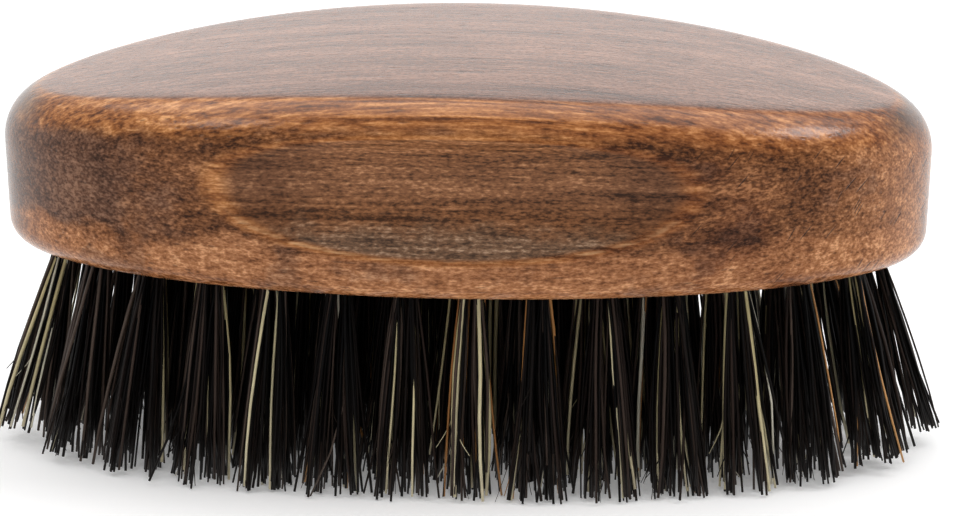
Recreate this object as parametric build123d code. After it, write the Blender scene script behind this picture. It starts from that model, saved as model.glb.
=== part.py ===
from build123d import *
import math
import os

# Palm-held beard brush: one hardwood block with a finger groove along each side, blind holes
# drilled in oval rings in its underside, and in each hole a tuft of boar bristle, folded over a
# short piece of flat wire that is driven across the bottom of the hole and holds the tuft.
#
# Frame: millimetres. The level bristle tips stand on z = 0 and +Z is up. +X runs along the handle and
# the origin lies under its middle. "front" is the -Y side and "left" the -X side.

# Handle block
base_length = 112.6         # outline of the underside, before its edge is rounded
base_width = 53.8
side_flare = 0.06           # the walls widen by this much on each side per mm of height
block_thickness = 25.3      # underside to the top of the crown
crown_drop = 6.5            # how far the top falls from the middle to either end
cross_drop = 0.6            # and to either side
swing = 12                  # degrees, wider than the handle on that slight curve
top_edge_radius = 6.6
base_edge_radius = 3.4

# Finger grooves, one along each long side
groove_depth = 3.9
groove_radius = 10.2        # radius of the cove cutter
groove_height = 13.1        # groove centre above the underside

# Bristle field
bristle_reach = 25.0        # underside of the block to the trimmed tips
level_trim = 30.0           # the tips are trimmed level this far to each side of the middle
end_trim = 2.0              # and rise in a curve by this much at the ends of the brush
end_reach = 58.0
hole_radius = 1.6
hole_depth = 9.0
outer_ring_length = 99.2
outer_ring_width = 39.2
ring_step = 6.6             # from one ring of holes to the next
tip_radius = 3.6            # a tuft spreads to this radius at its tips
centre_tufts = 7
centre_pitch = 7.6

# Each ring: name, steps in from the outer ring, outward lean of its tips, tufts in the ring, and
# where its first tuft lies past the right-hand end, in tufts. Neighbouring rings are staggered.
rings = [
    ("outer_ring", 0, 5.0, 28, 0.25),
    ("second_ring", 1, 3.4, 24, 0.0),
    ("inner_ring", 2, 1.9, 20, 0.5),
]

# Anchor: a cut length of flat wire
wire_thickness = 0.4
wire_width = 1.8
wire_bite = 0.5             # how far each end is driven into the wall of the hole
fold_thickness = 0.8        # bristle between the wire and the bottom of the hole

base_z = bristle_reach
top_z = base_z + block_thickness
hole_bottom_z = base_z + hole_depth


def oval(length, width, z):
    """A flat oval face, centred on the Z axis at the height z."""
    return Pos(0, 0, z) * Ellipse(length / 2, width / 2)


def arc_radius(half_chord, rise):
    """Radius of the circle that rises by this much in the middle of a chord."""
    return (half_chord ** 2 + rise ** 2) / (2 * rise)


def crowned_stock():
    """A thick plate under the crown: the long arc of the top, swung across the handle about an
    axis far below it, so that the top is slightly rounded across as well."""
    long_radius = arc_radius(base_length / 2, crown_drop)
    reach = 0.6 * base_length
    end_z = top_z - long_radius + math.sqrt(long_radius ** 2 - reach ** 2)
    foot_z = base_z - 5
    arc = ThreePointArc((-reach, 0, end_z), (0, 0, top_z), (reach, 0, end_z))
    sides = Polyline((reach, 0, end_z), (reach, 0, foot_z), (-reach, 0, foot_z), (-reach, 0, end_z))
    swing_axis = Axis((0, 0, top_z - arc_radius(base_width / 2, cross_drop)), (1, 0, 0))
    return revolve(make_face([arc, sides]).rotate(swing_axis, -swing / 2), swing_axis, swing)


def handle_blank():
    """The block before grooving and drilling: a flared oval under a crowned top, edges rounded."""
    rise = block_thickness + 1.0
    growth = 2 * side_flare * rise
    walls = loft([oval(base_length, base_width, base_z),
                  oval(base_length + growth, base_width + growth, base_z + rise)])
    block = walls & crowned_stock()

    by_height = block.faces().sort_by(Axis.Z)
    block = fillet(by_height[-1].edges(), top_edge_radius)
    underside = block.faces().sort_by(Axis.Z)[0]
    return fillet(underside.edges(), base_edge_radius)


def groove_cutter(side):
    """The round bar that the cove cutter sweeps along one side; side is -1 at the front."""
    wall_y = base_width / 2 + side_flare * groove_height
    axis_y = side * (wall_y - groove_depth + groove_radius)
    bar = Rot(0, 90, 0) * Cylinder(groove_radius, base_length)
    return Pos(0, axis_y, base_z + groove_height) * bar


def ring_tufts(steps_in, lean, count, first):
    """Evenly spaced tufts round one ring, by quarter: {name: [(hole centre, tip centre), ...]}. Each
    place is folded back into the first quarter of the oval, measured there along its length."""
    half_length = outer_ring_length / 2 - ring_step * steps_in
    half_width = outer_ring_width / 2 - ring_step * steps_in
    arc = EllipticalCenterArc((0, 0), half_length, half_width, 0, arc_size=90)
    quarters = [("back_right", 1, 1), ("back_left", -1, 1), ("front_left", -1, -1), ("front_right", 1, -1)]
    tufts = {name: [] for name, x_sign, y_sign in quarters}
    for i in range(count):
        turned = 4 * (i + first) / count
        name, x_sign, y_sign = quarters[int(turned)]
        share = turned - int(turned)
        distance = arc.length * (share if x_sign == y_sign else 1 - share)
        hole = arc.position_at(distance, position_mode=PositionMode.LENGTH)
        along = arc.tangent_at(distance, position_mode=PositionMode.LENGTH)
        tip = hole + Vector(along.Y, -along.X) * lean
        tufts[name].append((Vector(x_sign * hole.X, y_sign * hole.Y), Vector(x_sign * tip.X, y_sign * tip.Y)))
    return tufts


def bristle_field():
    """All tufts by node: {name: [(hole centre, tip centre), ...]}. The middle row stands upright."""
    field = {}
    for ring, steps_in, lean, count, first in rings:
        for quarter, tufts in ring_tufts(steps_in, lean, count, first).items():
            field[f"{ring}_tufts_{quarter}"] = tufts
    middle = (centre_tufts - 1) / 2
    row = [Vector(centre_pitch * (i - middle), 0) for i in range(centre_tufts)]
    field["centre_row_tufts"] = [(hole, hole) for hole in row]
    return field


def trim_height(tip):
    """How high above the level tips a tuft is trimmed."""
    beyond = max(0.0, abs(tip.X) - level_trim)
    return end_trim * (beyond / (end_reach - level_trim)) ** 2


def hole_fill(hole):
    """The round space drilled for one tuft."""
    middle_z = base_z + hole_depth / 2
    return Pos(hole.X, hole.Y, middle_z) * Cylinder(hole_radius, hole_depth)


def anchor(hole):
    """One flat wire, on edge across the grain, near the bottom of its hole."""
    wire_length = 2 * (hole_radius + wire_bite)
    middle_z = hole_bottom_z - fold_thickness - wire_width / 2
    return Pos(hole.X, hole.Y, middle_z) * Box(wire_thickness, wire_length, wire_width)


def tuft(hole, tip):
    """One folded bundle: it fills its hole round the wire, then fans out to its trimmed tips."""
    mouth = Pos(hole.X, hole.Y, base_z) * Circle(hole_radius)
    end = Pos(tip.X, tip.Y, trim_height(tip)) * Circle(tip_radius)
    fan = loft([end, mouth])
    return fan + hole_fill(hole) - anchor(hole)


def write(name, shape):
    """One STEP file for one named piece or group of like pieces."""
    shape.label = name
    export_step(shape, f"parts/{name}.step")


os.makedirs("parts", exist_ok=True)

field = bristle_field()
holes = [hole for group in field.values() for hole, tip in group]

handle_block = handle_blank()
handle_block -= [groove_cutter(-1), groove_cutter(1)]
handle_block -= [hole_fill(hole) for hole in holes]
handle_block -= [anchor(hole) for hole in holes]
write("handle_block", handle_block.solid())

for name, group in field.items():
    tufts = [tuft(hole, tip).solid() for hole, tip in group]
    anchors = [anchor(hole).solid() for hole, tip in group]
    write(name, Compound(children=tufts))
    write(name.replace("tufts", "anchors"), Compound(children=anchors))

print(len(holes), "tufts in", len(field), "groups")
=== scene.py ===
import bpy
import numpy as np
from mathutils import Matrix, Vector
from mathutils.geometry import delaunay_2d_cdt


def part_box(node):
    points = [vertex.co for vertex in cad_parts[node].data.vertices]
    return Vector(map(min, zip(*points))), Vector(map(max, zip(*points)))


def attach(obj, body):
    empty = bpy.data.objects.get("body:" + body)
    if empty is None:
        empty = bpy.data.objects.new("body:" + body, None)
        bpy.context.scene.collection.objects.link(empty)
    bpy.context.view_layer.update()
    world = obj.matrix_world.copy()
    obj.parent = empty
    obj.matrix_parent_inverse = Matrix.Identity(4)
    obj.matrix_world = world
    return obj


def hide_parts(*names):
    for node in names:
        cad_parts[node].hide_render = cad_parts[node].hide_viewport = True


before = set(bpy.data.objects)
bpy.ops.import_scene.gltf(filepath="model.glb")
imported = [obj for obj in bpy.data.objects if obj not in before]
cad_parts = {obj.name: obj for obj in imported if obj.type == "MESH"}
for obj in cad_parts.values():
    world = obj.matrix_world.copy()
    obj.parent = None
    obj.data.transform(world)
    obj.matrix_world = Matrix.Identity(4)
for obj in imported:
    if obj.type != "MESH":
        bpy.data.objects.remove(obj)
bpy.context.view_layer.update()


# ---------------------------------------------------------------- drilled holes
# The blind holes that a drilling machine puts in the flat underside of the block: three oval
# rings and a short middle row. Block, wires and bristles all take their places from this layout.

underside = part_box("handle_block")[0].z
hole_radius = 0.0016
hole_depth = 0.009
outer_ring = (0.0496, 0.0196)       # half length and half width
ring_step = 0.0066
centre_pitch = 0.0076
centre_tufts = 7

# ring: steps in from the outer ring, outward lean of the tips, tufts in it, and where its first
# tuft lies past the right-hand end, in tufts; neighbouring rings are staggered
ring_layout = {
    "outer_ring": (0, 0.0050, 28, 0.25),
    "second_ring": (1, 0.0034, 24, 0.0),
    "inner_ring": (2, 0.0019, 20, 0.5),
}


def ring_of_holes(steps_in, lean, count, first):
    """Hole centres and tip centres of one ring, evenly spaced along the oval: the chords of a
    fine polygon are added up, and the angle is read off at each wanted length. A tip centre lies
    out from its hole, square to the oval, by the lean."""
    a = outer_ring[0] - ring_step * steps_in
    b = outer_ring[1] - ring_step * steps_in
    angle = np.linspace(0, 2 * np.pi, 16001)
    length = np.cumsum(np.hypot(np.diff(a * np.cos(angle)), np.diff(b * np.sin(angle))))
    length = np.concatenate([[0], length])
    at = np.interp((np.arange(count) + first) / count * length[-1], length, angle)
    hole = np.stack([a * np.cos(at), b * np.sin(at)], axis=1)
    outward = np.stack([b * np.cos(at), a * np.sin(at)], axis=1)
    return hole, hole + lean * outward / np.linalg.norm(outward, axis=1, keepdims=True)


tuft_places = {ring: ring_of_holes(*layout) for ring, layout in ring_layout.items()}
centre_x = centre_pitch * (np.arange(centre_tufts) - (centre_tufts - 1) / 2)
centre_row = np.stack([centre_x, np.zeros(centre_tufts)], axis=1)
tuft_places["centre_row"] = (centre_row, centre_row)
all_holes = np.concatenate([hole for hole, tip in tuft_places.values()])


# ---------------------------------------------------------------- handle block
# One piece of straight-grained beech, shaped with a crowned top and a slight outward flare, its
# edges rounded over, and a finger groove run along each long side with a round cove cutter.
# It is stained walnut brown and finished with a thin satin lacquer.

crown_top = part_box("handle_block")[1].z
half_length = 0.0563                # outline at the underside
half_width = 0.0269
side_flare = 0.06
crown_drop = 0.0065                 # to either end
cross_drop = 0.0006                 # to either side
top_round = 0.0066
base_round = 0.0034
groove_radius = 0.0102
groove_depth = 0.0039
groove_height = 0.0131
groove_z = underside + groove_height
groove_y = half_width + side_flare * groove_height - groove_depth + groove_radius
rim_softness = 0.00035
groove_reach = 0.032                # the grooves end within this, to each side
columns = 640
wall_rows = 52
round_rows = 13
crown_rows = 14
hole_sides = 24


def arc_fall(radius, chord, middle):
    """How far an arc of this radius falls below its middle, this far along its chord, when the
    arc's middle has itself sunk by an amount."""
    return radius - np.sqrt((radius - middle) ** 2 - chord ** 2)


def crown_height(x, y):
    """Height of the top: a long arc, swung across the handle about an axis far below it. The
    radius of each is found from its half chord and its fall."""
    crown_radius = (half_length ** 2 + crown_drop ** 2) / (2 * crown_drop)
    cross_radius = (half_width ** 2 + cross_drop ** 2) / (2 * cross_drop)
    return crown_top - arc_fall(cross_radius, y, arc_fall(crown_radius, x, 0))


def outline_angles():
    """Angles round the oval, spaced evenly along it but three times as close beside the grooves."""
    angle = np.linspace(0, 2 * np.pi, 20001)
    x, y = half_length * np.cos(angle), half_width * np.sin(angle)
    middle_x = (x[1:] + x[:-1]) / 2
    weight = np.hypot(np.diff(x), np.diff(y)) * np.where(np.abs(middle_x) < groove_reach, 3.0, 1.0)
    length = np.concatenate([[0], np.cumsum(weight)])
    return np.interp(np.arange(columns) / columns * length[-1], length, angle)


def rim_of_block():
    """Rows of points from the edge of the crown down the wall to the edge of the underside. In
    the upright plane square to the oval, they run down a top arc, a straight flared wall and a
    base arc. Each arc's centre stands one radius inside the two surfaces that it joins; for the
    top arc that place is found in a few rounds, since the crown's slope changes with it."""
    angle = outline_angles()
    foot = np.stack([half_length * np.cos(angle), half_width * np.sin(angle)], axis=1)
    out = np.stack([half_width * np.cos(angle), half_length * np.sin(angle)], axis=1)
    out /= np.linalg.norm(out, axis=1, keepdims=True)
    lean = np.arctan(side_flare)

    inset = np.full(columns, -top_round)
    step = 0.0001
    for _ in range(6):
        x, y = (foot + out * inset[:, None]).T
        beyond = crown_height(x + out[:, 0] * step, y + out[:, 1] * step)
        fall = np.arctan((crown_height(x, y) - beyond) / step)
        height = crown_height(x, y) - top_round / np.cos(fall)
        inset = side_flare * (height - underside) - top_round / np.cos(lean)

    def arc(centre_s, centre_z, radius, start, end, rows):
        """Points on an arc about its centre, by angle above the horizontal, row by row."""
        turn = start + (end - start) * np.linspace(0, 1, rows)[:, None]
        return centre_s + radius * np.cos(turn), centre_z + radius * np.sin(turn)

    top_s, top_z = arc(inset, height, top_round, np.pi / 2 - fall, -lean + 0 * fall, round_rows)
    base_centre_z = underside + base_round
    base_centre_s = side_flare * base_round - base_round / np.cos(lean)
    base_s, base_z = arc(base_centre_s, base_centre_z, base_round,
                         np.full(columns, -lean), np.full(columns, -np.pi / 2), round_rows)
    down = np.linspace(0, 1, wall_rows + 2)[1:-1, None]
    wall_s = top_s[-1] + (base_s[0] - top_s[-1]) * down
    wall_z = top_z[-1] + (base_z[0] - top_z[-1]) * down
    s = np.concatenate([top_s, wall_s, base_s])
    z = np.concatenate([top_z, wall_z, base_z])
    return np.stack([foot[:, 0] + out[:, 0] * s, foot[:, 1] + out[:, 1] * s, z], axis=2)


def press_groove(points):
    """Points inside the cutter's round are pushed straight out from its axis to its surface. The
    larger of the two distances is taken with a soft maximum, which leaves a sanded rim. Also
    gives each point's distance inside the cutter, in metres, before it was pushed."""
    points = points.copy()
    side = np.where(points[..., 1] < 0, -1.0, 1.0)
    y = points[..., 1] - side * groove_y
    z = points[..., 2] - groove_z
    distance = np.hypot(y, z)
    gap = distance - groove_radius
    pushed = (distance + groove_radius + np.sqrt(gap ** 2 + rim_softness ** 2)) / 2
    points[..., 1] = side * groove_y + y * pushed / distance
    points[..., 2] = groove_z + z * pushed / distance
    return points, -gap


def crown_cap(edge):
    """Rings from the edge of the crown in to its middle: each is the edge drawn in towards the
    centre, and lifted to the crown's height. The last point closes the middle."""
    share = np.linspace(1, 0, crown_rows + 1)[1:-1, None, None]
    flat = edge[None, :, :2] * share
    rings = np.concatenate([flat, crown_height(flat[..., :1], flat[..., 1:])], axis=2)
    return rings, np.array([0, 0, crown_top])


def band(rows):
    """Four-cornered faces between neighbouring rows of a closed grid of points."""
    index = np.arange(rows * columns).reshape(rows, columns)
    nxt = np.roll(index, -1, axis=1)
    return np.stack([index[:-1], index[1:], nxt[1:], nxt[:-1]], axis=-1).reshape(-1, 4)


def drilled_face(edge, first_edge_index, next_index):
    """The flat underside: its edge and the mouths of the holes are joined by triangles, and those
    inside a mouth are left out. Each hole is then a round wall with a closed flat bottom."""
    turn = np.arange(hole_sides) / hole_sides * 2 * np.pi
    circle = hole_radius * np.stack([np.cos(turn), np.sin(turn)], axis=1)
    mouths = (all_holes[:, None, :] + circle).reshape(-1, 2)
    flat = np.concatenate([edge[:, :2], mouths])
    corners, _, faces, *_ = delaunay_2d_cdt([Vector(p) for p in flat.tolist()], [], [], 0, 1e-7)
    faces = np.array(faces)
    middle = np.array([tuple(c) for c in corners])[faces].mean(axis=1)
    reach = np.linalg.norm(middle[:, None] - all_holes[None], axis=2).min(axis=1)
    faces = faces[reach > hole_radius * 0.98]

    edge_index = first_edge_index + np.arange(columns)
    mouth_index = next_index + np.arange(len(mouths))
    number = np.concatenate([edge_index, mouth_index])
    mouth_points = np.concatenate([mouths, np.full((len(mouths), 1), underside)], axis=1)
    floor_points = mouth_points + [0, 0, hole_depth]
    mouth = mouth_index.reshape(-1, hole_sides)
    floor = mouth + len(mouths)
    walls = np.stack([mouth, np.roll(mouth, -1, 1), np.roll(floor, -1, 1), floor], axis=-1)
    return np.concatenate([mouth_points, floor_points]), number[faces], walls.reshape(-1, 4), floor


def new_mesh(name, points, faces, smooth_angle=None):
    """A mesh object in the scene from arrays of points and lists of faces, shaded smooth apart
    from edges sharper than the angle."""
    mesh = bpy.data.meshes.new(name)
    mesh.from_pydata(points.tolist(), [], faces)
    mesh.shade_smooth()
    if smooth_angle is not None:
        mesh.set_sharp_from_angle(angle=smooth_angle)
    piece = bpy.data.objects.new(name, mesh)
    bpy.context.scene.collection.objects.link(piece)
    return piece


def point_values(piece, name, values):
    """Stores one number for each point of the piece, for its material to read."""
    attribute = piece.data.attributes.new(name, "FLOAT", "POINT")
    attribute.data.foreach_set("value", values.astype(np.float32))


def build_block():
    """Rim, crown and drilled underside as one closed skin, with the facts that the stain follows:
    how far a point lies inside a groove, and how far round the top and base edges it lies."""
    rim, inside = press_groove(rim_of_block())
    rings, peak = crown_cap(rim[0])
    grid = np.concatenate([rings[::-1], rim])
    rows = len(grid)
    count = rows * columns
    drilled, flat_faces, hole_walls, hole_floors = drilled_face(grid[-1], count - columns, count + 1)
    points = np.concatenate([grid.reshape(-1, 3), [peak], drilled])
    first = np.arange(columns)
    fan = np.stack([np.full(columns, count), first, np.roll(first, -1)], axis=1)
    faces = band(rows).tolist() + fan.tolist()
    faces += flat_faces[:, ::-1].tolist() + hole_walls.tolist() + hole_floors.tolist()
    block = new_mesh("handle", points, faces, smooth_angle=0.7)

    row = np.repeat(np.arange(rows) - len(rings), columns)
    top_edge = np.clip(row / (round_rows - 1), 0, 1)
    base_edge = np.clip((row - round_rows - wall_rows) / (round_rows - 1), 0, 1)
    extra = len(points) - count
    depth = np.concatenate([np.full(rings.shape[0] * columns, -1.0), inside.ravel()])
    point_values(block, "groove_inside", np.concatenate([depth, np.full(extra, -1.0)]) * 1000)
    point_values(block, "top_edge", np.concatenate([top_edge, np.zeros(extra)]))
    point_values(block, "base_edge", np.concatenate([base_edge, np.ones(extra)]))
    return block


def new_look(name):
    """A material with an empty node tree but for its surface shader; gives both and the tree."""
    look = bpy.data.materials.new(name)
    look.use_nodes = True
    tree = look.node_tree
    return look, tree, tree.nodes["Principled BSDF"]


def plug(tree, socket, value):
    """Gives a socket another node's output, or a value of its own."""
    if isinstance(value, bpy.types.NodeSocket):
        tree.links.new(value, socket)
    else:
        socket.default_value = value


def calc(tree, operation, *values):
    """One sum on numbers, such as MULTIPLY or ADD."""
    node = tree.nodes.new("ShaderNodeMath")
    node.operation = operation
    for socket, value in zip(node.inputs, values):
        plug(tree, socket, value)
    return node.outputs["Value"]


def fade(tree, value, low, high):
    """Rises smoothly from 0 at one value, and below it, to 1 at the other. Where the first is the
    larger of the two, it rises as the value falls."""
    node = tree.nodes.new("ShaderNodeMapRange")
    node.interpolation_type = "SMOOTHSTEP"
    for name, given in (("Value", value), ("From Min", low), ("From Max", high)):
        plug(tree, node.inputs[name], given)
    return node.outputs["Result"]


def dye(tree, share, under, over, mode="MIX"):
    """One colour laid over another by a share from 0 to 1."""
    node = tree.nodes.new("ShaderNodeMix")
    node.data_type = "RGBA"
    node.blend_type = mode
    plug(tree, node.inputs["Factor"], share)
    for socket, value in zip([i for i in node.inputs if i.type == "RGBA"], (under, over)):
        plug(tree, socket, value if isinstance(value, bpy.types.NodeSocket) else (*value, 1))
    return next(o for o in node.outputs if o.type == "RGBA")


def shades(tree, value, stops):
    """A ramp of colours: (place, colour) for each stop."""
    node = tree.nodes.new("ShaderNodeValToRGB")
    ramp = node.color_ramp
    while len(ramp.elements) < len(stops):
        ramp.elements.new(0.5)
    for element, (place, colour) in zip(ramp.elements, stops):
        element.position = place
        element.color = (*colour, 1)
    plug(tree, node.inputs["Fac"], value)
    return node.outputs["Color"]


def drawn(tree, coords, scale, turn=(0, 0, 0)):
    """Coordinates stretched so that a pattern runs long where the scale is small."""
    node = tree.nodes.new("ShaderNodeMapping")
    node.inputs["Rotation"].default_value = turn
    node.inputs["Scale"].default_value = scale
    tree.links.new(coords, node.inputs["Vector"])
    return node.outputs["Vector"]


def cloud(tree, coords, detail, rough):
    """Soft noise, one feature to each unit of the coordinates."""
    node = tree.nodes.new("ShaderNodeTexNoise")
    node.inputs["Scale"].default_value = 1.0
    node.inputs["Detail"].default_value = detail
    node.inputs["Roughness"].default_value = rough
    tree.links.new(coords, node.inputs["Vector"])
    return node.outputs["Fac"]


def flecks(tree, coords, size, share):
    """Small lens-shaped spots, 1 inside and 0 outside: cells of the coordinates are one unit
    wide, and a share of them hold a spot of this radius."""
    node = tree.nodes.new("ShaderNodeTexVoronoi")
    node.inputs["Scale"].default_value = 1.0
    tree.links.new(coords, node.inputs["Vector"])
    chance = tree.nodes.new("ShaderNodeSeparateColor")
    tree.links.new(node.outputs["Color"], chance.inputs["Color"])
    spot = fade(tree, node.outputs["Distance"], size, size * 0.4)
    return calc(tree, "MULTIPLY", spot, calc(tree, "LESS_THAN", chance.outputs["Red"], share))


def slanted(tree, coords, size, lean):
    """Coordinates for long cells: each is as long, wide and deep as the size, leaning by an
    angle in the upright plane along the handle."""
    node = tree.nodes.new("ShaderNodeMapping")
    node.vector_type = "TEXTURE"
    node.inputs["Rotation"].default_value = (0, lean, 0)
    node.inputs["Scale"].default_value = size
    tree.links.new(coords, node.inputs["Vector"])
    return node.outputs["Vector"]


def stored(tree, name):
    """A number that the mesh stores for each point."""
    node = tree.nodes.new("ShaderNodeAttribute")
    node.attribute_name = name
    return node.outputs["Fac"]


def bumps(tree, relief, strength, depth):
    """Surface directions for a relief whose full height is the depth, in metres."""
    node = tree.nodes.new("ShaderNodeBump")
    node.inputs["Strength"].default_value = strength
    node.inputs["Distance"].default_value = depth
    tree.links.new(relief, node.inputs["Height"])
    return node.outputs["Normal"]


def mix_of(tree, *parts):
    """The sum of patterns, each times its share, from (pattern, share) pairs."""
    total = 0.0
    for pattern, share in parts:
        total = calc(tree, "MULTIPLY_ADD", pattern, share, total)
    return total


def all_of(tree, *values):
    """The product: high only where all are high."""
    product = values[0]
    for value in values[1:]:
        product = calc(tree, "MULTIPLY", product, value)
    return product


def tinted(tree, colour, tint):
    """A colour seen through a darker glaze."""
    return dye(tree, 1.0, colour, tint, "MULTIPLY")


# Tones of the stained wood, and of its painted sheen on the crown and the groove's lower slope, each from its
# dark fibres to its pale ones
wall_tone = [(0.38, (0.030, 0.010, 0.004)), (0.46, (0.122, 0.043, 0.014)),
             (0.54, (0.228, 0.084, 0.028)), (0.63, (0.500, 0.215, 0.085))]
# Crown: the stain's tone with a painted reflection of the white backdrop in the lacquer, pale pinkish grey
crown_tone_and_sheen = [(0.37, (0.065, 0.030, 0.019)), (0.50, (0.225, 0.112, 0.074)), (0.63, (0.430, 0.240, 0.172))]
rubbed_tone = [(0.37, (0.090, 0.027, 0.008)), (0.46, (0.290, 0.098, 0.026)),
               (0.54, (0.480, 0.190, 0.058)), (0.64, (0.860, 0.430, 0.180))]
foot_tone = [(0.38, (0.130, 0.043, 0.014)), (0.46, (0.300, 0.114, 0.042)),
             (0.54, (0.440, 0.182, 0.074)), (0.63, (0.760, 0.385, 0.185))]
pooled_tone = [(0.37, (0.032, 0.014, 0.008)), (0.50, (0.135, 0.060, 0.034)), (0.63, (0.300, 0.160, 0.098))]
cove_tone = [(0.38, (0.055, 0.020, 0.007)), (0.46, (0.190, 0.074, 0.027)),
             (0.54, (0.315, 0.130, 0.052)), (0.63, (0.600, 0.290, 0.135))]
# Lower slope of the groove: painted sheen, pale and grey, where the slope faces up to the light
slope_sheen_tone = [(0.38, (0.060, 0.034, 0.020)), (0.50, (0.205, 0.122, 0.072)), (0.63, (0.620, 0.460, 0.320))]


class BeechPatterns:
    """What the stain goes by at each point of the block: its place, how far round an edge or
    inside a groove it lies, and the patterns of the wood. Each pattern is noise stretched along
    the fibres, which run along X a little askew; blotches run no way in particular."""

    def __init__(self, tree):
        self.coords = tree.nodes.new("ShaderNodeTexCoord").outputs["Object"]
        axes = tree.nodes.new("ShaderNodeSeparateXYZ")
        tree.links.new(self.coords, axes.inputs["Vector"])
        self.along, self.across = axes.outputs["X"], axes.outputs["Y"]
        self.height = calc(tree, "SUBTRACT", axes.outputs["Z"], underside)
        self.top_edge = stored(tree, "top_edge")
        self.base_edge = stored(tree, "base_edge")
        self.inside = stored(tree, "groove_inside")

        askew = (0, 0.012, 0.020)
        self.fibre = cloud(tree, drawn(tree, self.coords, (65, 1500, 1500), askew), 3, 0.6)
        self.speckle = cloud(tree, drawn(tree, self.coords, (1300, 3200, 3200), askew), 2, 0.6)
        self.pores = flecks(tree, drawn(tree, self.coords, (240, 1500, 1500), askew), 0.30, 0.4)
        self.blotch = cloud(tree, drawn(tree, self.coords, (120, 130, 170)), 3, 0.6)
        bands = cloud(tree, drawn(tree, self.coords, (9, 240, 240), askew), 2, 0.5)
        self.grain = mix_of(tree, (self.fibre, 0.36), (self.speckle, 0.42), (bands, 0.22))
        self.streaks = mix_of(tree, (self.fibre, 0.58), (self.speckle, 0.20), (bands, 0.22))
        self.on_wall = fade(tree, mix_of(tree, (self.blotch, 0.4), (self.top_edge, 1.0)), 0.72, 0.98)


def rubbed_wood(tree, wood):
    """Where the stain is rubbed thin the wood glows orange, less brightly towards the right."""
    rubbed = shades(tree, wood.streaks, rubbed_tone)
    return dye(tree, fade(tree, wood.along, 0.005, 0.030), rubbed, tinted(tree, rubbed, (0.74, 0.66, 0.60)))


def stain_outside(tree, wood, rubbed):
    """Pinkish grey-brown on the crown, partly stain and partly painted reflection of the white
    backdrop in the lacquer, darker towards its front; rubbed on its rounded edge, dark on the wall,
    and paler along the foot and at the right-hand end. The stain pooled at the left and in patches.
    A painted shadow darkens the wall a little way right of the groove, and painted shade darkens the
    rounded bottom edge and the underside. The stain went nearly black where the end grain of the
    rounded edge drank it."""
    # Crown: stain with a painted reflection of the backdrop, darker towards the front edge
    front = all_of(tree, fade(tree, wood.across, -0.006, -0.022), 0.45)
    crown = shades(tree, wood.grain, crown_tone_and_sheen)
    crown = dye(tree, front, crown, tinted(tree, crown, (0.55, 0.45, 0.40)))
    colour = dye(tree, fade(tree, wood.top_edge, 0.04, 0.14), crown, rubbed)
    colour = dye(tree, wood.on_wall, colour, shades(tree, wood.grain, wall_tone))

    foot = fade(tree, mix_of(tree, (wood.blotch, 0.008), (wood.height, 1.0)), 0.0122, 0.0088)
    right_end = fade(tree, mix_of(tree, (wood.blotch, 0.020), (wood.along, 1.0)), 0.052, 0.062)
    pale = calc(tree, "MAXIMUM", foot, all_of(tree, right_end, wood.on_wall, 0.7))
    colour = dye(tree, pale, colour, shades(tree, wood.grain, foot_tone))

    left_end = fade(tree, mix_of(tree, (wood.blotch, -0.035), (wood.along, 1.0)), -0.048, -0.062)
    pool = all_of(tree, left_end, wood.on_wall, fade(tree, foot, 0.8, 0.1), 0.9)
    patches = all_of(tree, fade(tree, wood.blotch, 0.53, 0.64), wood.on_wall, 0.45)
    colour = dye(tree, calc(tree, "MAXIMUM", pool, patches), colour, shades(tree, wood.grain, pooled_tone))

    # Painted shadow on the wall a little way right of the groove, broken up by the blotches
    beside = all_of(tree, fade(tree, wood.along, 0.024, 0.033), fade(tree, wood.along, 0.046, 0.039))
    shadow = all_of(tree, beside, wood.on_wall, fade(tree, wood.blotch, 0.35, 0.60), 0.8)
    colour = dye(tree, shadow, colour, tinted(tree, colour, (0.66, 0.56, 0.50)))
    # Painted shade on the rounded bottom edge and the flat underside, which face the floor
    under = all_of(tree, fade(tree, wood.base_edge, 0.60, 0.95), 0.8)
    colour = dye(tree, under, colour, tinted(tree, colour, (0.45, 0.34, 0.28)))

    far = fade(tree, calc(tree, "ABSOLUTE", wood.along), 0.0500, 0.0545)
    round_top = all_of(tree, fade(tree, wood.top_edge, 0.0, 0.3), fade(tree, wood.top_edge, 0.8, 0.4))
    return dye(tree, all_of(tree, far, round_top, 0.75), colour, (0.075, 0.058, 0.048))


def stain_in_groove(tree, wood, in_groove, colour, rubbed):
    """Rubbed just outside the rim, brown inside, darker towards both ends, paler and greyer with a
    painted sheen on the upward-facing lower slope, and nearly bare along the lower rim."""
    halo = all_of(tree, fade(tree, wood.inside, -0.8, -0.1), 0.85)
    colour = dye(tree, halo, colour, rubbed)
    colour = dye(tree, in_groove, colour, shades(tree, wood.grain, cove_tone))
    ends = calc(tree, "MAXIMUM", fade(tree, wood.along, -0.012, -0.024), fade(tree, wood.along, 0.014, 0.026))
    colour = dye(tree, all_of(tree, ends, in_groove, 0.7), colour, tinted(tree, colour, (0.45, 0.41, 0.40)))
    # Painted sheen on the upward-facing lower slope of the groove
    low = fade(tree, mix_of(tree, (wood.blotch, 0.010), (wood.height, 1.0)), 0.0152, 0.0122)
    colour = dye(tree, all_of(tree, in_groove, low, 0.7), colour, shades(tree, wood.grain, slope_sheen_tone))
    rim = all_of(tree, fade(tree, wood.inside, -0.20, -0.02), fade(tree, wood.inside, 0.30, 0.04))
    rim = all_of(tree, rim, fade(tree, wood.height, 0.012, 0.008), fade(tree, wood.fibre, 0.40, 0.60), 0.55)
    return dye(tree, rim, colour, (0.560, 0.330, 0.170))


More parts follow.
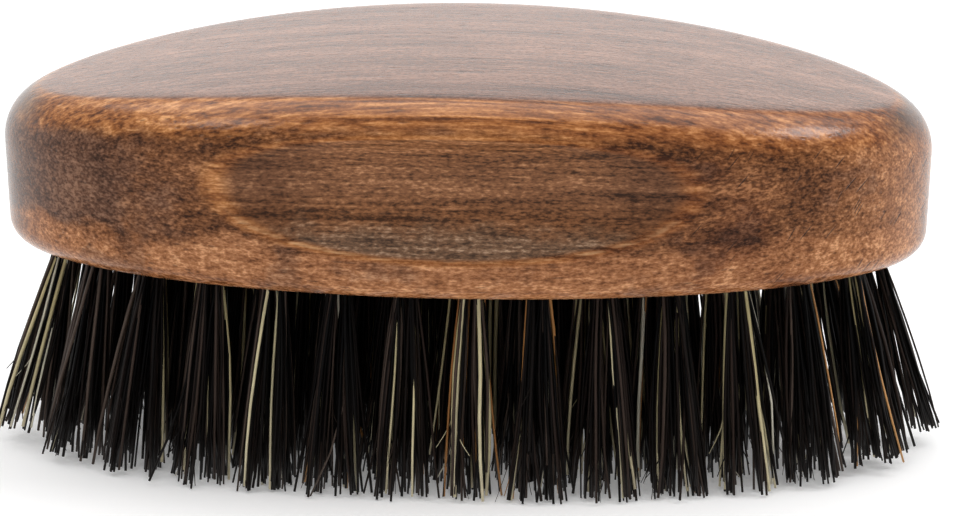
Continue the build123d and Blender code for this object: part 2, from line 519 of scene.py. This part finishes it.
def slits_in_wall(tree, wood):
    """Short dark slits that lean across the wall at its right, at two slants."""
    steep = flecks(tree, slanted(tree, wood.coords, (0.0075, 0.006, 0.00042), -0.86), 0.24, 0.30)
    steeper = flecks(tree, slanted(tree, wood.coords, (0.0060, 0.006, 0.00036), -1.05), 0.24, 0.22)
    outside = fade(tree, wood.inside, 0.0, -0.4)
    right = fade(tree, wood.along, 0.025, 0.031)
    return all_of(tree, calc(tree, "MAXIMUM", steep, steeper), wood.on_wall, right, outside)


def marks_in_wood(tree, wood, slits, colour):
    """Dark pores all over, the slits, pale scratches at the left end, and the pale flecks that
    the wood's rays leave across the rounded edge at the right."""
    colour = dye(tree, all_of(tree, wood.pores, 0.45), colour, (0.030, 0.014, 0.008))
    colour = dye(tree, all_of(tree, slits, 0.85), colour, (0.012, 0.006, 0.004))
    scratches = flecks(tree, slanted(tree, wood.coords, (0.026, 0.010, 0.00045), 0.80), 0.22, 0.10)
    scratches = all_of(tree, scratches, wood.on_wall, fade(tree, wood.along, -0.036, -0.044), 0.55)
    colour = dye(tree, scratches, colour, (0.400, 0.220, 0.120))
    rays = flecks(tree, slanted(tree, wood.coords, (0.00022, 0.004, 0.0030), 0.15), 0.30, 0.05)
    on_edge = all_of(tree, fade(tree, wood.top_edge, 0.1, 0.3), fade(tree, wood.top_edge, 0.7, 0.5))
    rays = all_of(tree, rays, on_edge, fade(tree, wood.along, 0.015, 0.03))
    return dye(tree, rays, colour, (0.640, 0.330, 0.130))


def stained_beech():
    """Brown stain under a thin lacquer, over grain that can just be felt."""
    look, tree, surface = new_look("stained_beech")
    wood = BeechPatterns(tree)
    rubbed = rubbed_wood(tree, wood)
    in_groove = fade(tree, mix_of(tree, (wood.blotch, 0.5), (wood.inside, 1.0)), 0.25, 1.05)
    slits = slits_in_wall(tree, wood)
    colour = stain_outside(tree, wood, rubbed)
    colour = stain_in_groove(tree, wood, in_groove, colour, rubbed)
    colour = marks_in_wood(tree, wood, slits, colour)
    tree.links.new(colour, surface.inputs["Base Color"])

    roughness = mix_of(tree, (wood.speckle, 0.25), (in_groove, 0.12), (wood.grain, 0.3))
    tree.links.new(roughness, surface.inputs["Roughness"])
    surface.inputs["Specular IOR Level"].default_value = 0.25
    surface.inputs["Coat Weight"].default_value = 0.32
    surface.inputs["Coat Roughness"].default_value = 0.09

    relief = mix_of(tree, (wood.fibre, 0.5), (wood.speckle, 0.5), (wood.pores, -0.4), (slits, -0.6))
    bump = bumps(tree, relief, 0.6, 0.00008)
    tree.links.new(bump, surface.inputs["Normal"])
    tree.links.new(bump, surface.inputs["Coat Normal"])
    return look


handle = build_block()
handle.data.materials.append(stained_beech())
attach(handle, "root")
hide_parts("handle_block")


# ---------------------------------------------------------------- anchor wires
# A cut length of flat drawn brass wire for each hole, driven across the fold of the bundle until
# both ends bite into the wood. They keep their CAD shapes and take a drawn-metal finish.

def drawn_brass():
    """Bright brass with fine draw lines along the wire and a little tarnish in clouds."""
    look, tree, surface = new_look("drawn_brass")
    coords = tree.nodes.new("ShaderNodeTexCoord").outputs["Object"]
    lines = cloud(tree, drawn(tree, coords, (9000, 300, 9000)), 2, 0.5)
    tarnish = cloud(tree, drawn(tree, coords, (500, 500, 500)), 3, 0.6)
    tree.links.new(dye(tree, fade(tree, tarnish, 0.45, 0.7), (0.72, 0.50, 0.20), (0.42, 0.26, 0.10)),
                   surface.inputs["Base Color"])
    surface.inputs["Metallic"].default_value = 1.0
    tree.links.new(calc(tree, "MULTIPLY_ADD", lines, 0.25, 0.18), surface.inputs["Roughness"])
    return look


brass = drawn_brass()
for name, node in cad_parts.items():
    if "_anchors" in name:
        node.data.materials.clear()
        node.data.materials.append(brass)


# ---------------------------------------------------------------- bristle tufts
# Boar bristle, thirty-three hairs to a hole, mostly black and dark brown with some blond and a few amber
# ones. Each hair is folded double over its wire, comes out of the hole twice, and fans out; the
# ends are cut uneven and many of them split, as the hair does on the animal.

hairs_per_tuft = 33
half_wire = 0.0002                  # half the thickness of a wire
fold_thickness = 0.0008             # bristle between a wire and the bottom of its hole
wire_top = underside + hole_depth - fold_thickness
thinnest_hair, thickest_hair = 0.00013, 0.00024         # radii
tip_spread = 0.0043                 # a tuft spreads to this radius at its tips
own_scatter = 0.0007                # of single hairs about their places in it
clumps_per_tuft = 8
level_trim, end_trim, end_reach = 0.030, 0.0020, 0.058  # trimmed level, then up to the ends
cut_scatter = 0.0006
short_share, short_by = 0.06, 0.006 # a few hairs end up to this much above the others
bow_size, wave_size = 0.00035, 0.00010
stray_share, stray_size = 0.03, 0.0020
split_share, split_drift = 0.55, 0.0008
pale_share, amber_share = 0.085, 0.025
hair_sides = 4
exposed_stations = np.array([1.0, 0.8, 0.6, 0.4, 0.2, 0.0])     # from the cut end to the mouth


def hair_legs(random, holes, tips, side, seat, thickness):
    """One leg of every hair, from its cut end up to its shoulder beside the wire. From the mouth
    of the hole the leg runs to its own place in the spread of tips, pulled part of the way into
    one of a few clumps, with a slight bow, a slight wave and, in a few strays, a strong curl.
    The bow is a parabola along the leg, the wave a sine, and the curl grows as a cube."""
    count = len(holes)
    room = np.sqrt(np.maximum(hole_radius ** 2 - seat[:, 1] ** 2, 0)) - half_wire - 2 * thickness
    offset_x = side * (half_wire + thickness + seat[:, 0] * np.maximum(room, 0))
    mouth = holes + np.stack([offset_x, seat[:, 1]], axis=1)

    own = (mouth - holes) / hole_radius * tip_spread + random.normal(0, own_scatter, (count, 2))
    clumps = random.uniform(-0.8, 0.8, (count // hairs_per_tuft, clumps_per_tuft, 2)) * tip_spread
    clumps = np.repeat(clumps, hairs_per_tuft, axis=0)
    nearest = np.linalg.norm(clumps - own[:, None], axis=2).argmin(axis=1)
    pull = random.uniform(0.1, 0.6, (count, 1))
    end = tips + own + (clumps[np.arange(count), nearest] - own) * pull

    low = 0.0001 + np.abs(random.normal(0, cut_scatter, count))
    low += (random.random(count) < short_share) * random.uniform(0, short_by, count)
    low += end_trim * (np.maximum(np.abs(end[:, 0]) - level_trim, 0) / (end_reach - level_trim)) ** 2
    t = exposed_stations[None, :, None]
    bow = random.normal(0, bow_size, (count, 1, 2))
    wave = random.normal(0, wave_size, (count, 1, 2))
    wave = wave * np.sin(2 * np.pi * (1.3 * t + random.random((count, 1, 1))))
    stray = (random.random((count, 1, 1)) < stray_share) * random.normal(0, stray_size, (count, 1, 2))
    run = mouth[:, None] + (end - mouth)[:, None] * (1.05 * t - 0.05 * t ** 2)
    run = run + bow * 4 * t * (1 - t) + wave * t + stray * t ** 3
    fall = underside - (underside - low)[:, None] * exposed_stations
    exposed = np.concatenate([run, fall[..., None]], axis=2)
    shoulder = np.stack([mouth[:, 0], mouth[:, 1], np.full(count, wire_top)], axis=1)
    return np.concatenate([exposed, shoulder[:, None]], axis=1)


def fold_hairs(random, holes, tips):
    """Whole hairs: one leg up from its cut end, the fold over the wire, and the other leg down."""
    holes = np.repeat(holes, hairs_per_tuft, axis=0)
    tips = np.repeat(tips, hairs_per_tuft, axis=0)
    count = len(holes)
    seat = np.stack([random.random(count), random.uniform(-0.8, 0.8, count) * hole_radius], axis=1)
    thickness = thinnest_hair + (thickest_hair - thinnest_hair) * random.random(count)
    left = hair_legs(random, holes, tips, -1, seat, thickness)
    right = hair_legs(random, holes, tips, 1, seat, thickness)
    over_wire = wire_top + thickness + seat[:, 0] * fold_thickness / 2
    apex = np.stack([holes[:, 0], holes[:, 1] + seat[:, 1], over_wire], axis=1)
    spines = np.concatenate([left, apex[:, None], right[:, ::-1]], axis=1)
    exposed = np.concatenate([exposed_stations, [0, 0, 0], exposed_stations[::-1]])
    taper = 1 - 0.25 * exposed ** 2
    return spines, thickness[:, None] * taper, np.broadcast_to(exposed, spines.shape[:2])


def split_ends(random, spines, radii):
    """Fine branches: each leaves one leg of a hair part of the way down and runs on beside it,
    drifting away to one side, at under half of its thickness."""
    chosen = random.random(len(spines)) < split_share
    leg = spines[chosen, :len(exposed_stations)][:, ::-1]
    begin = random.uniform(2.6, 4.4, chosen.sum())
    finish = np.minimum(begin + random.uniform(0.5, 1.6, chosen.sum()), 5.0)
    places = begin[:, None] + (finish - begin)[:, None] * np.linspace(0, 1, 4)
    index = np.minimum(places.astype(int), 4)
    rows = np.arange(len(leg))[:, None]
    base = leg[rows, index] + (leg[rows, index + 1] - leg[rows, index]) * (places - index)[..., None]
    drift = random.normal(0, split_drift, (len(leg), 1, 2)) * (np.linspace(0, 1, 4) ** 1.4)[None, :, None]
    base[..., :2] += drift
    thin = radii[chosen, :1] * random.uniform(0.45, 0.75, (len(leg), 1)) * np.linspace(1, 0.5, 4)
    return base, thin, places / 5.0, chosen


def tubes(spines, radii, sides):
    """A ring of points at each station of each spine, square to its run, and the faces between
    neighbouring rings; both ends are closed. One direction across the run is square to the wires
    and the other is square to both."""
    run = np.gradient(spines, axis=1)
    run /= np.linalg.norm(run, axis=2, keepdims=True)
    across = np.cross(run, [0, 1, 0])
    across /= np.linalg.norm(across, axis=2, keepdims=True)
    other = np.cross(run, across)
    turn = np.arange(sides) / sides * 2 * np.pi
    ring = np.cos(turn)[:, None] * across[:, :, None] + np.sin(turn)[:, None] * other[:, :, None]
    points = spines[:, :, None] + radii[:, :, None, None] * ring
    count, stations = spines.shape[:2]
    index = np.arange(count * stations * sides).reshape(count, stations, sides)
    nxt = np.roll(index, -1, axis=2)
    walls = np.stack([index[:, :-1], nxt[:, :-1], nxt[:, 1:], index[:, 1:]], axis=-1).reshape(-1, 4)
    ends = np.concatenate([index[:, 0, ::-1], index[:, -1]])
    return points.reshape(-1, 3), np.concatenate([walls, ends])


def bristle_piece(name, sets, look, nodes):
    """One piece from several sets of spines: (spines, radii, share along, shade of each hair)."""
    points, faces, along, shade = [], [], [], []
    start = 0
    for spines, radii, exposed, tone in sets:
        made, joined = tubes(spines, radii, hair_sides)
        points.append(made)
        faces.append(joined + start)
        along.append(np.repeat(exposed.ravel(), hair_sides))
        shade.append(np.repeat(tone, spines.shape[1] * hair_sides))
        start += len(made)
    piece = new_mesh(name, np.concatenate(points), np.concatenate(faces).tolist())
    point_values(piece, "along", np.concatenate(along))
    point_values(piece, "shade", np.concatenate(shade))
    piece.data.materials.append(look)
    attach(piece, "root")
    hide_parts(*nodes)
    return piece


def hair_look(name, stops, tip_colour, tip_share, rough, gloss):
    """Each hair has its own shade from the ramp and fades towards another colour at its end, with
    fine clouds along it and a soft gloss."""
    look, tree, surface = new_look(name)
    coords = tree.nodes.new("ShaderNodeTexCoord").outputs["Object"]
    colour = shades(tree, stored(tree, "shade"), stops)
    toward = calc(tree, "MULTIPLY", calc(tree, "POWER", stored(tree, "along"), 2.0), tip_share)
    colour = dye(tree, toward, colour, tip_colour)
    mottle = cloud(tree, drawn(tree, coords, (1500, 1500, 260)), 3, 0.6)
    dusky = dye(tree, 0.35, colour, (0.5, 0.5, 0.5), "MULTIPLY")
    colour = dye(tree, fade(tree, mottle, 0.35, 0.75), colour, dusky)
    tree.links.new(colour, surface.inputs["Base Color"])
    tree.links.new(calc(tree, "MULTIPLY_ADD", mottle, 0.2, rough), surface.inputs["Roughness"])
    surface.inputs["Specular IOR Level"].default_value = gloss
    tree.links.new(bumps(tree, mottle, 0.4, 0.00002), surface.inputs["Normal"])
    return look


dark_hair = hair_look("dark_hair", [(0.0, (0.0025, 0.0025, 0.003)), (0.45, (0.004, 0.0035, 0.0035)),
                                    (0.7, (0.012, 0.008, 0.007)), (0.85, (0.038, 0.024, 0.019)),
                                    (1.0, (0.110, 0.080, 0.064))],
                      (0.022, 0.015, 0.012), 0.35, 0.35, 0.15)
pale_hair = hair_look("pale_hair", [(0.0, (0.36, 0.30, 0.14)), (0.4, (0.66, 0.56, 0.29)),
                                    (0.7, (0.76, 0.70, 0.48)), (1.0, (0.80, 0.77, 0.66))],
                      (0.80, 0.72, 0.55), 0.5, 0.35, 0.4)
amber_hair = hair_look("amber_hair", [(0.0, (0.30, 0.115, 0.030)), (0.5, (0.48, 0.210, 0.060)),
                                      (1.0, (0.60, 0.320, 0.120))],
                       (0.55, 0.30, 0.12), 0.4, 0.35, 0.4)

looks = (("dark", dark_hair), ("pale", pale_hair), ("amber", amber_hair))
for seed, (ring, (holes, tips)) in enumerate(tuft_places.items()):
    random = np.random.default_rng(41 + seed)
    spines, radii, exposed = fold_hairs(random, holes, tips)
    ends, end_radii, end_exposed, parents = split_ends(random, spines, radii)
    tone = random.random(len(spines))
    kind = np.digitize(random.random(len(spines)), [1 - pale_share - amber_share, 1 - amber_share])
    radii = radii * np.where(kind == 1, 1.1, 1.0)[:, None]
    nodes = [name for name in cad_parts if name.startswith(ring + "_tufts")]
    for number, (word, look) in enumerate(looks):
        whole = kind == number
        fine = kind[parents] == number
        sets = [(spines[whole], radii[whole], exposed[whole], tone[whole]),
                (ends[fine], end_radii[fine], end_exposed[fine], tone[parents][fine])]
        bristle_piece(f"{ring}_{word}_bristles", sets, look, nodes)


# ---------------------------------------------------------------- studio
# A pale, faintly lit floor, a backdrop that is white behind the brush and dim on the viewer's
# side, a broad soft box overhead, a fill from the front and a small soft box to each side.

world = bpy.data.worlds.new("studio")
bpy.context.scene.world = world
world.use_nodes = True
sky = world.node_tree
facing = sky.nodes.new("ShaderNodeSeparateXYZ")
sky.links.new(sky.nodes.new("ShaderNodeTexCoord").outputs["Generated"], facing.inputs["Vector"])
low_sky = calc(sky, "MULTIPLY_ADD", fade(sky, facing.outputs["Z"], 0.42, 0.26), 0.65, 0.35)
far_sky = calc(sky, "MULTIPLY", fade(sky, facing.outputs["Y"], -0.35, 0.45), low_sky)
glow = calc(sky, "MULTIPLY_ADD", far_sky, 1.05, 0.25)
sky.links.new(glow, sky.nodes["Background"].inputs["Strength"])
sky.nodes["Background"].inputs["Color"].default_value = (1.0, 1.0, 1.0, 1)
bpy.context.scene.view_settings.view_transform = "Standard"

floor_mesh = bpy.data.meshes.new("floor")
floor_mesh.from_pydata([(-3, -3, 0), (3, -3, 0), (3, 3, 0), (-3, 3, 0)], [], [(0, 1, 2, 3)])
floor = bpy.data.objects.new("floor", floor_mesh)
bpy.context.scene.collection.objects.link(floor)
floor.visible_glossy = False
floor_look, _, floor_surface = new_look("pale_floor")
floor_surface.inputs["Base Color"].default_value = (0.92, 0.92, 0.92, 1)
floor_surface.inputs["Emission Color"].default_value = (1.0, 1.0, 1.0, 1)
floor_surface.inputs["Emission Strength"].default_value = 0.19
floor_surface.inputs["Roughness"].default_value = 0.9
floor_mesh.materials.append(floor_look)


def soft_box(name, direction, distance, size, radiance, mirrored=True):
    """An area light that faces the middle of the brush from the given direction, of an even
    brightness all over: its power is that brightness times its area times pi. A light that is
    not mirrored leaves no highlight on the lacquer."""
    light = bpy.data.lights.new(name, "AREA")
    light.shape = "RECTANGLE"
    light.size, light.size_y = size
    light.energy = radiance * np.pi * size[0] * size[1]
    lamp = bpy.data.objects.new(name, light)
    way = Vector(direction).normalized()
    lamp.location = Vector((0, 0, 0.03)) + way * distance
    lamp.rotation_mode = "QUATERNION"
    lamp.rotation_quaternion = way.to_track_quat("Z", "Y")
    lamp.visible_glossy = mirrored
    bpy.context.scene.collection.objects.link(lamp)


soft_box("top_box", (0.0, 0.30, 0.95), 0.9, (1.2, 0.8), 1.5)
soft_box("front_box", (0.0, -0.60, 0.80), 1.2, (1.2, 0.6), 2.0, mirrored=False)
soft_box("right_box", (0.64, 0.07, 0.765), 0.74, (0.30, 0.15), 9)
soft_box("left_box", (-0.55, -0.25, 0.80), 0.8, (0.20, 0.20), 4)

azimuth, elevation = np.radians(4.3), np.radians(15.85)
away = Vector((np.sin(azimuth) * np.cos(elevation), -np.cos(azimuth) * np.cos(elevation), np.sin(elevation)))
across = Vector((np.cos(azimuth), np.sin(azimuth), 0))
upward = away.cross(across)
camera_distance = 2.0
view_width = 0.1173
aim_right, aim_down = 0.00108, 0.00160
aim = Vector((0, 0, underside)) + aim_right * across - aim_down * upward
camera_data = bpy.data.cameras.new("camera")
camera_data.sensor_width = 36
camera_data.lens = 36 * camera_distance / view_width
camera = bpy.data.objects.new("camera", camera_data)
camera.location = aim + away * camera_distance
camera.rotation_mode = "QUATERNION"
camera.rotation_quaternion = away.to_track_quat("Z", "Y")
bpy.context.scene.collection.objects.link(camera)
bpy.context.scene.camera = camera
